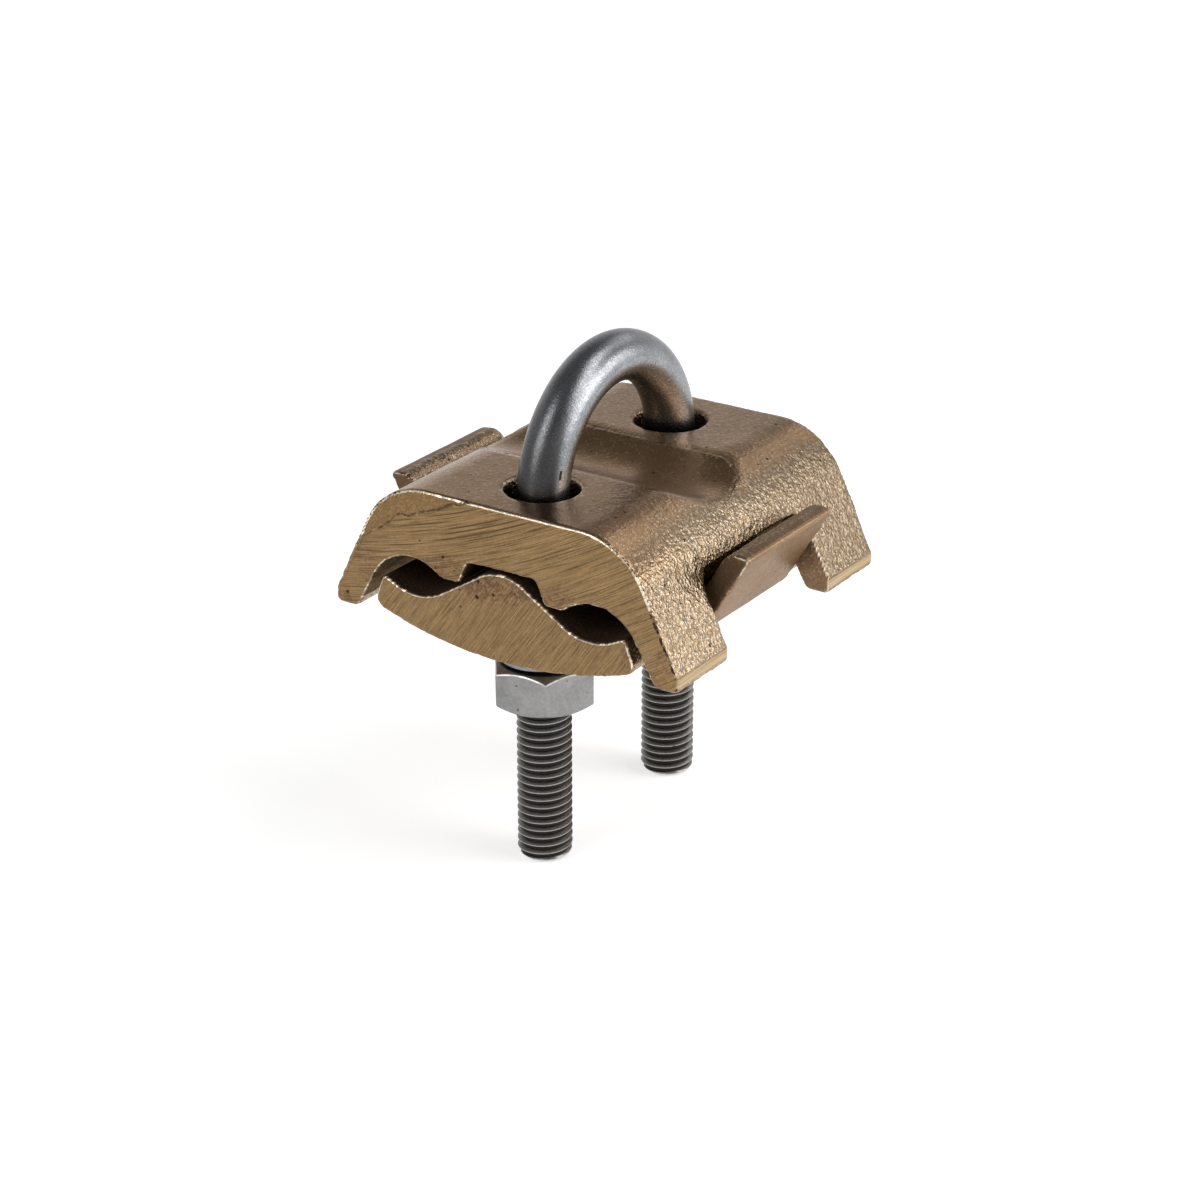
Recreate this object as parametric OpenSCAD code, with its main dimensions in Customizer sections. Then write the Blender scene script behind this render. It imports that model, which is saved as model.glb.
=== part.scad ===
// Ground rod clamp: two cast saddles drawn together by a U-bolt, with two hex nuts and two spring washers.
// Frame in mm: Z up, X along the ground rod, Y along the cables, origin on the lowest line of the rod seat.

/* [Upper saddle] */
// Length of both saddles along the cables
saddle_l = 66.2; // [56:0.1:90]
// Width over the four feet
upper_w = 71; // [68:0.1:90]
// Height from the feet to the flat top
upper_h = 24.9; // [22:0.1:34]
// Radius from the flat top into the legs
shoulder_r = 14.3; // [8:0.1:16]
// Outward lean of the legs' outer faces, degrees
leg_lean = 26; // [20:0.5:28]
// Height of the upright edge round the feet
foot_h = 2.6; // [1:0.1:4]
// Outward lean of the legs' inner faces, degrees
leg_inner_lean = 29; // [24:0.5:31]
// Length of the side notches between the feet
notch_l = 34; // [24:0.5:40]
// Height of the side notches above the feet
notch_h = 14.9; // [12:0.1:16]
// Corner radius at the top of the notches
notch_r = 4; // [1:0.5:8]
// Distance from the middle to the back wall of the notches
notch_x = 25.4; // [23:0.1:27]
// Depth of the flat recess below the top
recess_depth = 11.1; // [8:0.1:13]
// Width of the recess at its roof
recess_w = 14; // [13.6:0.1:16]
// Width of the recess at the tips of the lugs
recess_mouth_w = 17.6; // [15:0.1:18.5]
// Depth of the lug tips below the top
lug_depth = 15.4; // [13:0.1:17]

/* [Cable grooves] */
// Distance of the upper saddle's grooves from the middle
crown_x = 18.9; // [18.6:0.1:19.6]
// Radius of the grooves in the upper saddle
crown_r = 9; // [8:0.1:9.2]
// Depth of the groove crowns below the top
crown_depth = 12.9; // [11.5:0.1:14]
// Distance of the lower saddle's grooves from the middle
valley_x = 18; // [17:0.1:19]
// Radius of the grooves in the lower saddle
valley_r = 10.5; // [7:0.1:11]

/* [Rod seat] */
// Radius of the scooped seat
seat_r = 17.5; // [10:0.5:25]
// Depth of the seat below the flat top
seat_depth = 2.9; // [1:0.1:4]

/* [Lower saddle] */
// Gap between the crest of the hump and the roof of the recess
crest_gap = 0.65; // [0.6:0.05:3]
// Thickness at the middle
lower_t = 16.4; // [14:0.1:20]
// Radius of the crest of the hump
crest_r = 8.5; // [5:0.1:9]
// Drop from the crest to the bottom of the grooves
valley_drop = 7.85; // [7:0.05:9]
// Rise of the groove lips, degrees
lip_rise = 25; // [15:1:28]
// Distance from the middle to the groove lips
lip_x = 25; // [24:0.1:25.6]
// Width over the ends between the feet
lower_w = 54.6; // [52:0.1:55.6]
// Radius of the curved underside
base_r = 78; // [60:1:80]
// Slope of the underside at its ends, degrees
base_rise = 18; // [14:0.5:18]
// Distance from the middle to the outer top edge of the ears
ear_x = 37.6; // [37:0.1:40]
// Height of the ears above the crest
ear_h = 4.6; // [0:0.1:8]
// Outward lean of the ears, degrees
ear_lean = 30.7; // [26:0.1:34]
// Thickness of the ears measured across
ear_t = 4.8; // [3:0.1:5]
// Length of the ears along the cables
ear_l = 28.4; // [16:0.1:32]
// Diameter of the holes in the lower saddle
lower_hole_d = 11.6; // [11:0.1:12]

/* [U-bolt] */
// Distance between the two legs
leg_pitch = 40.7; // [38:0.1:44]
// Diameter of the plain bar
bar_d = 9.1; // [7:0.1:9.4]
// Outer diameter of the thread
thread_d = 9.9; // [8:0.1:10]
// Length of thread on each leg
thread_l = 48; // [42:1:60]
// Pitch of the thread
thread_pitch = 1.5; // [1:0.05:1.75]
// Clear height from the rod seat to the inside of the bow
bow_clear = 15.7; // [15:0.1:20]
// Depth of the leg ends below the rod seat
leg_depth = 67.1; // [62:0.1:80]
// Chamfer at the leg ends
leg_chamfer = 1.7; // [0.5:0.1:2]
// Diameter of the holes in the upper saddle
upper_hole_d = 13.3; // [12.4:0.1:13.6]

/* [Nuts and washers] */
// Width across the flats of the nuts
nut_af = 17; // [15:0.1:18]
// Height of the nuts
nut_h = 8; // [6:0.1:10]
// Radial room between the thread and the bore of the nuts
thread_room = 0.1; // [0.05:0.01:0.3]
// Turn of the nuts about their legs, degrees
nut_turn = 6.4; // [0:0.1:60]
// Outer diameter of the spring washers
washer_d = 16; // [15:0.1:18]
// Bore of the spring washers
washer_bore_d = 10.5; // [10.2:0.1:11]
// Thickness of the spring washers
washer_t = 2.5; // [1.5:0.1:3]
// Rise of the unloaded spring washers over one turn
washer_rise = 1.1; // [0.2:0.1:2]
// Angle left open at the split of the spring washers
washer_split = 8; // [4:1:20]

/* [Hidden] */
$fn = 96;
arc_lap = 0.01;
top_z = seat_depth;
feet_z = top_z - upper_h;
crown_c = [crown_x, top_z - crown_depth - crown_r];
lug_z = top_z - lug_depth;
recess_z = top_z - recess_depth;
lug_side = 128;
leg_in = tangent_corner(crown_c, crown_r, leg_inner_lean, lug_side);
foot_in = leg_in.x + (leg_in.y - feet_z) * tan(leg_inner_lean);
lug_x = leg_in.x - (leg_in.y - lug_z) / tan(lug_side - 90);

crest_z = recess_z - crest_gap;
crest_c = [0, crest_z - crest_r];
valley_c = [valley_x, crest_z - valley_drop + valley_r];
span = valley_c - crest_c;
flank = asin((crest_r + valley_r) / norm(span)) - atan2(span.y, span.x);
valley_pt = tangent_corner(valley_c, valley_r, 270 - flank, 270 + lip_rise);
apex_pt = [0, crest_c.y + crest_r / cos(flank)];
base_z = crest_z - lower_t;
keel_z = base_z + base_r - base_r / cos(base_rise);
ear_z = crest_z + ear_h;
ear_crown = 0.6;
ear_in_x = ear_x - ear_t;
ear_foot_x = (ear_x - (ear_z - keel_z) * tan(ear_lean)) / (1 - tan(base_rise) * tan(ear_lean));
ear_root_x = (ear_in_x - (ear_z - valley_pt.y + valley_pt.x * tan(lip_rise)) * tan(ear_lean))
    / (1 - tan(lip_rise) * tan(ear_lean));

bow_r = leg_pitch / 2;
bow_z = bow_clear + bar_d / 2 - bow_r;
ridge_h = 0.6 * thread_pitch;
ridge_flank = ridge_h * tan(30);
crest_w = thread_pitch / 8;
ridges = floor((thread_l - 1 - leg_chamfer - crest_w) / thread_pitch);
bore_d = thread_d + 2 * thread_room;
nut_top_z = base_z - washer_t - washer_rise;

// Corner where the tangents of a circle at two normal angles meet
function tangent_corner(c, r, n1, n2) =
    c + r / cos((n2 - n1) / 2) * [cos((n1 + n2) / 2), sin((n1 + n2) / 2)];
function unit(v) = v / norm(v);
function xy(p) = [p[0], p[1]];
function mirrored(half) = [for (i = [len(half) - 1:-1:0]) [-half[i][0], half[i][1], half[i][2]]];

// Turn at a corner of an outline that runs clockwise, above zero where the corner stands out
function turn(a, b, c) = (b.y - a.y) * (c.x - b.x) - (b.x - a.x) * (c.y - b.y);

// Centre of a corner's arc and the points where it leaves the two edges
function arc_at(a, b, c, r) =
    let (u = unit(a - b), v = unit(c - b), half = acos(u * v) / 2)
    [b + unit(u + v) * r / sin(half), b + u * r / tan(half), b + v * r / tan(half)];

// Corner points of an outline, opened to the arc's centre where the corner runs inward
function opened(a, b, c, r) = turn(a, b, c) > 0 || r == 0 ? [b] :
    let (k = arc_at(a, b, c, r)) [k[1], k[0], k[2]];

// Waste between an outward corner and its arc, or the round bite that forms an inward one
module corner_cut(a, b, c, r) {
    k = arc_at(a, b, c, r);
    m = k[0];
    reach = 1.15;
    if (turn(a, b, c) > 0)
        difference() {
            polygon([m, m + (k[1] - m) * reach, m + (b - m) * reach, m + (k[2] - m) * reach]);
            translate(m + unit(b - m) * arc_lap) circle(r);
        }
    else translate(m + unit(b - m) * arc_lap) circle(r);
}

// Outline with an arc at each corner: points are x, height and radius, clockwise
module rounded(pts) {
    n = len(pts);
    p = [for (q = pts) xy(q)];
    difference() {
        polygon([for (i = [0:n - 1]) each opened(p[(i + n - 1) % n], p[i], p[(i + 1) % n], pts[i][2])]);
        for (i = [0:n - 1])
            if (pts[i][2] > 0) corner_cut(p[(i + n - 1) % n], p[i], p[(i + 1) % n], pts[i][2]);
    }
}

// A section across the cables drawn out along them
module along_cables(length) {
    rotate([90, 0, 0]) linear_extrude(height = length, center = true) children();
}

module at_legs() {
    for (s = [-1, 1]) translate([0, s * leg_pitch / 2, 0]) children();
}

module upper_section() {
    half = [
        [upper_w / 2 - (upper_h - foot_h) * tan(leg_lean), top_z, shoulder_r],
        [upper_w / 2, feet_z + foot_h, 0.6],
        [upper_w / 2, feet_z, 1],
        [foot_in, feet_z, 1.8],
        [leg_in.x, leg_in.y, crown_r],
        [lug_x, lug_z, 1.4],
        [recess_mouth_w / 2, lug_z, 1.2],
        [recess_w / 2, recess_z, 1.2]
    ];
    rounded(concat(half, mirrored(half)));
}

module upper_saddle() {
    color([0.66, 0.52, 0.34])
    difference() {
        along_cables(saddle_l) upper_section();
        for (s = [0, 180]) rotate([0, 0, s]) side_notch();
        at_legs() translate([0, 0, lug_z]) cylinder(d = upper_hole_d, h = lug_depth + 1);
        translate([0, 0, seat_r]) rotate([0, 90, 0]) cylinder(r = seat_r, h = upper_w, center = true);
    }
}

// Opening in one side through which an ear of the lower saddle stands out
module side_notch() {
    roof = feet_z + notch_h;
    translate([notch_x, 0, 0]) rotate([90, 0, 90]) linear_extrude(height = upper_w / 2) rounded([
        [-notch_l / 2, roof, notch_r],
        [notch_l / 2, roof, notch_r],
        [notch_l / 2, feet_z - 2, 0],
        [-notch_l / 2, feet_z - 2, 0]
    ]);
}

module lower_ends() {
    half = [
        [valley_pt.x, valley_pt.y, valley_r],
        [lip_x, valley_pt.y + (lip_x - valley_pt.x) * tan(lip_rise), 0.7],
        [lower_w / 2, keel_z + lower_w / 2 * tan(base_rise), 2]
    ];
    rounded(concat([[0, apex_pt.y, crest_r]], half, [[0, keel_z, base_r]], mirrored(half)));
}

module lower_middle() {
    half = [
        [valley_pt.x, valley_pt.y, valley_r],
        [ear_root_x, valley_pt.y + (ear_root_x - valley_pt.x) * tan(lip_rise), 3],
        [ear_in_x + ear_crown * tan(ear_lean), ear_z + ear_crown, 3.5],
        [ear_x, ear_z, 0.6],
        [ear_foot_x, keel_z + ear_foot_x * tan(base_rise), 5]
    ];
    rounded(concat([[0, apex_pt.y, crest_r]], half, [[0, keel_z, base_r]], mirrored(half)));
}

module lower_saddle() {
    color([0.64, 0.49, 0.31])
    difference() {
        union() {
            along_cables(saddle_l) lower_ends();
            along_cables(ear_l) lower_middle();
        }
        at_legs() translate([0, 0, base_z - 1]) cylinder(d = lower_hole_d, h = lower_t + 2);
    }
}

// Bow and legs share the level where the bend begins, and the thread's ridges are rings at its pitch
module u_bolt() {
    shank = bow_z + leg_depth;
    crest = thread_d / 2;
    color([0.42, 0.43, 0.45])
    translate([0, 0, bow_z])
    union() {
        rotate([90, 0, 90]) rotate_extrude(angle = 180) translate([bow_r, 0]) circle(d = bar_d);
        at_legs() rotate_extrude() polygon([
            [0, -shank],
            [crest - leg_chamfer, -shank],
            [crest, leg_chamfer - shank],
            for (i = [0:ridges - 1]) let (z = leg_chamfer - shank + i * thread_pitch) each [
                [crest, z + crest_w],
                [crest - ridge_h, z + crest_w + ridge_flank],
                [crest - ridge_h, z + thread_pitch - ridge_flank],
                [crest, z + thread_pitch]
            ],
            [crest, thread_l - 1 - shank],
            [bar_d / 2, thread_l - shank],
            [bar_d / 2, 0],
            [0, 0]
        ]);
    }
}

// Square bar coiled through one turn, open at the split
module spring_washer(side) {
    steps = 60;
    sweep = 360 - washer_split;
    ring = [for (i = [0:steps]) let (a = i / steps) each [
        for (c = [[washer_bore_d, 0], [washer_d, 0], [washer_d, washer_t], [washer_bore_d, washer_t]])
            [c.x / 2 * cos(a * sweep), c.x / 2 * sin(a * sweep), a * washer_rise + c.y]
    ]];
    walls = [for (i = [0:steps - 1], k = [0:3])
        [4 * i + k, 4 * i + 4 + k, 4 * i + 4 + (k + 1) % 4, 4 * i + (k + 1) % 4]];
    ends = [[0, 1, 2, 3], [for (k = [3:-1:0]) 4 * steps + k]];
    color([0.62, 0.63, 0.65])
    translate([0, side * leg_pitch / 2, nut_top_z]) rotate([0, 0, 90 + washer_split])
        polyhedron(ring, concat(walls, ends));
}

module hex_nut(side) {
    corner = nut_af / 2 / cos(30);
    face = nut_af / 2 * 0.95;
    bevel = (corner + 0.5 - face) * tan(30);
    color([0.72, 0.73, 0.74])
    translate([0, side * leg_pitch / 2, nut_top_z - nut_h])
    difference() {
        intersection() {
            rotate([0, 0, nut_turn]) cylinder(r = corner, h = nut_h, $fn = 6);
            rotate_extrude() polygon([
                [0, 0],
                [face, 0],
                [corner + 0.5, bevel],
                [corner + 0.5, nut_h - bevel],
                [face, nut_h],
                [0, nut_h]
            ]);
        }
        translate([0, 0, -1]) cylinder(d = bore_d, h = nut_h + 2);
    }
}

module front_washer() spring_washer(-1);
module rear_washer() spring_washer(1);
module front_nut() hex_nut(-1);
module rear_nut() hex_nut(1);

upper_saddle();
lower_saddle();
u_bolt();
front_washer();
rear_washer();
front_nut();
rear_nut();
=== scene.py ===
import math
import bmesh
import bpy
import numpy as np
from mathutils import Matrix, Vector, noise
from mathutils.bvhtree import BVHTree
from mathutils.kdtree import KDTree


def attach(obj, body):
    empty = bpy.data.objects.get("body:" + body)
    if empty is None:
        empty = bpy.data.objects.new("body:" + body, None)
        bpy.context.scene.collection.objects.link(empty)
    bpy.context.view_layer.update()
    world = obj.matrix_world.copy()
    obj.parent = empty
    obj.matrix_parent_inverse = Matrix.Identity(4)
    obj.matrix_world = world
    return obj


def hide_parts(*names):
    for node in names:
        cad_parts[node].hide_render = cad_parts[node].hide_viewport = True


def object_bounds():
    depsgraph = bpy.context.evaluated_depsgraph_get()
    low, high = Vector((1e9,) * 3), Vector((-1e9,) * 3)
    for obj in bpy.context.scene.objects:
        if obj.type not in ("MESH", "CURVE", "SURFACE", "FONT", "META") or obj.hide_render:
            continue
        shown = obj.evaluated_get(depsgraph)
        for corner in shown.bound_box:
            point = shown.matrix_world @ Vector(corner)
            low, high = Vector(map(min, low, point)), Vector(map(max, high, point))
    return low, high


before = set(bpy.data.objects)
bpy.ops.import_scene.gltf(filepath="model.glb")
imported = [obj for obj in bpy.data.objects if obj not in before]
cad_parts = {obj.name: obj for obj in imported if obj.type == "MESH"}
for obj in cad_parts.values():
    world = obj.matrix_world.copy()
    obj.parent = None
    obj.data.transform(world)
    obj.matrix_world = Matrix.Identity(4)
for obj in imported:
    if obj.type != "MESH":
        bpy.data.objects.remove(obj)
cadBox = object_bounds()
mm = 0.001
print("frame loaded, box", [[round(v, 4) for v in c] for c in cadBox])


# small helpers for meshes

def addPiece(name, mesh):
    piece = bpy.data.objects.new(name, mesh)
    bpy.context.scene.collection.objects.link(piece)
    return piece


def meshFrom(name, points, faces):
    mesh = bpy.data.meshes.new(name)
    mesh.from_pydata([tuple(p) for p in points], [], faces)
    mesh.validate()
    mesh.update()
    return mesh


def cleanUp(mesh, gap=1e-6):
    bm = bmesh.new()
    bm.from_mesh(mesh)
    bmesh.ops.remove_doubles(bm, verts=bm.verts, dist=gap)
    bmesh.ops.dissolve_degenerate(bm, edges=bm.edges, dist=gap)
    bmesh.ops.recalc_face_normals(bm, faces=bm.faces)
    bm.to_mesh(mesh)
    bm.free()


def shadeSmooth(mesh, degrees=None):
    mesh.polygons.foreach_set("use_smooth", [True] * len(mesh.polygons))
    if degrees:
        mesh.set_sharp_from_angle(angle=math.radians(degrees))


def paint(mesh, name, *channels):
    layer = mesh.attributes.new(name, "FLOAT_COLOR", "POINT")
    layer.data.foreach_set("color", np.stack(channels, 1).astype(np.float32).ravel())


def ramp(v, low, high):
    t = np.clip((v - low) / (high - low), 0, 1)
    return t * t * (3 - 2 * t)


def finishPiece(piece, body, node, material):
    piece.data.materials.clear()
    piece.data.materials.append(material)
    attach(piece, body)
    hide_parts(node)


# small helpers for materials

def addNode(tree, kind, values=None, **settings):
    made = tree.nodes.new(kind)
    for key, value in settings.items():
        setattr(made, key, value)
    for key, value in (values or {}).items():
        made.inputs[key].default_value = value
    return made


# a number or a colour is set on a socket, the output of a node is joined to it
def feed(tree, socket, value):
    if isinstance(value, (int, float)):
        socket.default_value = value
    elif isinstance(value, tuple):
        socket.default_value = (*value, 1)
    else:
        tree.links.new(value, socket)


def calc(tree, kind, a, b=None, clamp=False):
    made = addNode(tree, "ShaderNodeMath", operation=kind, use_clamp=clamp)
    feed(tree, made.inputs[0], a)
    if b is not None:
        feed(tree, made.inputs[1], b)
    return made.outputs[0]


def times(tree, a, b):
    return calc(tree, "MULTIPLY", a, b)


def minus(tree, a, b):
    return calc(tree, "SUBTRACT", a, b)


def below(tree, a, b):
    return calc(tree, "LESS_THAN", a, b)


def scaled(tree, value, factor, plus):
    return calc(tree, "ADD", times(tree, value, factor), plus)


def blend(tree, a, partA, b, partB):
    return calc(tree, "ADD", times(tree, a, partA), times(tree, b, partB))


def spread(tree, value, low, high, toLow=0.0, toHigh=1.0):
    made = addNode(tree, "ShaderNodeMapRange", {"From Min": low, "From Max": high, "To Min": toLow, "To Max": toHigh},
                   interpolation_type="SMOOTHSTEP")
    tree.links.new(value, made.inputs["Value"])
    return made.outputs["Result"]


# one at zero, fading to nothing at the reach
def fadeOut(tree, value, reach):
    return spread(tree, value, 0.0, reach, 1.0, 0.0)


def mixColour(tree, factor, a, b):
    made = addNode(tree, "ShaderNodeMix", data_type="RGBA")
    tree.links.new(factor, made.inputs["Factor"])
    feed(tree, made.inputs[6], a)
    feed(tree, made.inputs[7], b)
    return made.outputs[2]


def mixValue(tree, factor, a, b):
    made = addNode(tree, "ShaderNodeMix", data_type="FLOAT")
    tree.links.new(factor, made.inputs["Factor"])
    feed(tree, made.inputs[2], a)
    feed(tree, made.inputs[3], b)
    return made.outputs[0]


def splitAxes(tree, vector):
    made = addNode(tree, "ShaderNodeSeparateXYZ")
    tree.links.new(vector, made.inputs[0])
    return made.outputs


# the four channels of a painted layer
def readPaint(tree, name):
    layer = addNode(tree, "ShaderNodeAttribute", attribute_name=name)
    parts = addNode(tree, "ShaderNodeSeparateColor")
    tree.links.new(layer.outputs["Color"], parts.inputs[0])
    return (*parts.outputs, layer.outputs["Alpha"])


def noiseAt(tree, vector, size, detail, rough):
    made = addNode(tree, "ShaderNodeTexNoise", {"Scale": 1 / (size * mm), "Detail": detail, "Roughness": rough})
    tree.links.new(vector, made.inputs["Vector"])
    return made.outputs["Fac"]


def addBump(tree, shader, height, depth):
    bump = addNode(tree, "ShaderNodeBump", {"Strength": 1.0, "Distance": depth * mm})
    tree.links.new(height, bump.inputs["Height"])
    tree.links.new(bump.outputs[0], shader.inputs["Normal"])


def startGroup(name, inputs, outputs):
    group = bpy.data.node_groups.new(name, "ShaderNodeTree")
    group.interface.new_socket("Vector", in_out="INPUT", socket_type="NodeSocketVector")
    for title, value in inputs.items():
        socket = group.interface.new_socket(title, in_out="INPUT", socket_type="NodeSocketFloat")
        socket.default_value = value
    for title in outputs:
        group.interface.new_socket(title, in_out="OUTPUT", socket_type="NodeSocketFloat")
    return group, group.nodes.new("NodeGroupInput").outputs, group.nodes.new("NodeGroupOutput").inputs


def placeGroup(tree, group, vector, **values):
    made = addNode(tree, "ShaderNodeGroup", values, node_tree=group)
    tree.links.new(vector, made.inputs["Vector"])
    return made.outputs


def startMaterial(name):
    material = bpy.data.materials.new(name)
    material.use_nodes = True
    tree = material.node_tree
    shader = tree.nodes["Principled BSDF"]
    shader.inputs["Metallic"].default_value = 1.0
    where = addNode(tree, "ShaderNodeTexCoord").outputs["Object"]
    return material, tree, shader, where


# shared surface effects

sandSizes = {"fine": 0.46, "drift": 0.7, "warp": 0.5, "grain": 0.62, "wide": 1.6}


def makeSandGrain():
    s = sandSizes
    group, take, give = startGroup("sandGrain", {}, ["Height", "Fleck"])
    where = take["Vector"]
    fine = noiseAt(group, where, s["fine"], 2.0, 0.6)
    wide = noiseAt(group, where, s["wide"], 2.0, 0.5)
    drift = addNode(group, "ShaderNodeTexNoise", {"Scale": 1 / (s["drift"] * mm), "Detail": 1.0})
    group.links.new(where, drift.inputs["Vector"])
    warp = addNode(group, "ShaderNodeVectorMath", operation="MULTIPLY_ADD")
    group.links.new(drift.outputs["Color"], warp.inputs[0])
    warp.inputs[1].default_value = (s["warp"] * mm,) * 3
    group.links.new(where, warp.inputs[2])
    grains = addNode(group, "ShaderNodeTexVoronoi", {"Scale": 1 / (s["grain"] * mm), "Smoothness": 0.5},
                     feature="SMOOTH_F1")
    group.links.new(warp.outputs[0], grains.inputs["Vector"])
    rounded = minus(group, 1.0, grains.outputs["Distance"])
    height = blend(group, rounded, 0.7, fine, 0.9)
    group.links.new(calc(group, "ADD", height, times(group, wide, 0.8)), give["Height"])
    group.links.new(spread(group, times(group, rounded, fine), 0.16, 0.46), give["Fleck"])
    return group


# lines left by the grinding belt: length, width, detail and seed of each kind of streak
beltStreaks = {"fine": (6, 0.11, 1.0, 0), "even": (12, 0.17, 1.0, 7), "sparse": (9, 0.13, 0.5, 19)}


# the lines are level curves of z - slope x - bend x x
def makeLinishLines():
    group, take, give = startGroup("linishLines", {"Slope": 0.5, "Bend": 0.0}, ["Height", "Tone", "Score", "Across"])
    x, y, z = splitAxes(group, take["Vector"])
    tilt = calc(group, "ADD", take["Slope"], times(group, take["Bend"], x))
    across = minus(group, z, times(group, tilt, x))
    along = calc(group, "ADD", x, times(group, z, take["Slope"]))

    def streak(kind):
        length, width, detail, seed = beltStreaks[kind]
        place = addNode(group, "ShaderNodeCombineXYZ")
        group.links.new(times(group, along, 1 / (length * mm)), place.inputs[0])
        group.links.new(times(group, across, 1 / (width * mm)), place.inputs[1])
        group.links.new(scaled(group, y, 40, seed), place.inputs[2])
        tex = addNode(group, "ShaderNodeTexNoise", {"Scale": 1.0, "Detail": detail, "Roughness": 0.6})
        group.links.new(place.outputs[0], tex.inputs["Vector"])
        return tex.outputs["Fac"]

    height = blend(group, streak("fine"), 0.5, streak("even"), 0.5)
    group.links.new(height, give["Height"])
    group.links.new(spread(group, height, 0.435, 0.56), give["Tone"])
    group.links.new(spread(group, streak("sparse"), 0.62, 0.71), give["Score"])
    group.links.new(across, give["Across"])
    return group


def makePores():
    group, take, give = startGroup("pores", {"Spacing": 0.003, "Share": 0.3}, ["Mask"])
    spots = addNode(group, "ShaderNodeTexVoronoi", {"Randomness": 1.0})
    group.links.new(take["Vector"], spots.inputs["Vector"])
    group.links.new(calc(group, "DIVIDE", 1.0, take["Spacing"]), spots.inputs["Scale"])
    pick = addNode(group, "ShaderNodeSeparateColor")
    group.links.new(spots.outputs["Color"], pick.inputs[0])
    chosen = below(group, pick.outputs[0], take["Share"])
    size = spread(group, pick.outputs[1], 0.0, 1.0, 0.04, 0.13)
    hole = below(group, spots.outputs["Distance"], size)
    group.links.new(times(group, chosen, hole), give["Mask"])
    return group


def makeClouds():
    group, take, give = startGroup("clouds", {"Size": 0.008}, ["Mask"])
    tex = addNode(group, "ShaderNodeTexNoise", {"Detail": 4.0, "Roughness": 0.6})
    group.links.new(take["Vector"], tex.inputs["Vector"])
    group.links.new(calc(group, "DIVIDE", 1.0, take["Size"]), tex.inputs["Scale"])
    group.links.new(spread(group, tex.outputs["Fac"], 0.3, 0.7), give["Mask"])
    return group


sandGrain, linishLines, pores, clouds = makeSandGrain(), makeLinishLines(), makePores(), makeClouds()
print("surface effects made")

bronze = {
    "skin": (0.435, 0.262, 0.142), "skinDark": (0.30, 0.180, 0.088), "skinFleck": (0.66, 0.50, 0.355),
    "sandLow": (0.255, 0.183, 0.113), "sandHigh": (0.48, 0.39, 0.282),
    "ground": (0.345, 0.223, 0.108), "groundDark": (0.195, 0.124, 0.057), "facet": (0.57, 0.425, 0.252),
    "score": (0.07, 0.04, 0.017),
    "bare": (0.26, 0.155, 0.084), "bareDark": (0.145, 0.083, 0.044), "strip": (0.27, 0.168, 0.078),
    "stripDark": (0.195, 0.120, 0.054),
    # the edge colour is worn bronze whitened into a painted highlight, the shade colour stands for painted shade, and
    # the darkest one serves pores and painted shadow lines
    "edge": (0.88, 0.78, 0.61), "inside": (0.11, 0.074, 0.045), "darkPoreAndShadow": (0.04, 0.024, 0.015),
    "grazing": (0.5, 0.42, 0.34),
    "castRough": 0.21, "sandRough": 0.235, "groundRough": 0.33, "wornRough": 0.3, "insideRough": 0.65, "bump": 0.12,
    "poreSpacing": 0.0024, "poreShare": 0.5, "patch": 0.009, "mottle": 0.0014, "blowDark": 9.0,
    # how far a deep score takes to start and to run out
    "scoreIn": 4, "scoreOut": 5,
}
# how many millimetres of distance a channel of "rims" spans
rimSpan = 4
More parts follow.
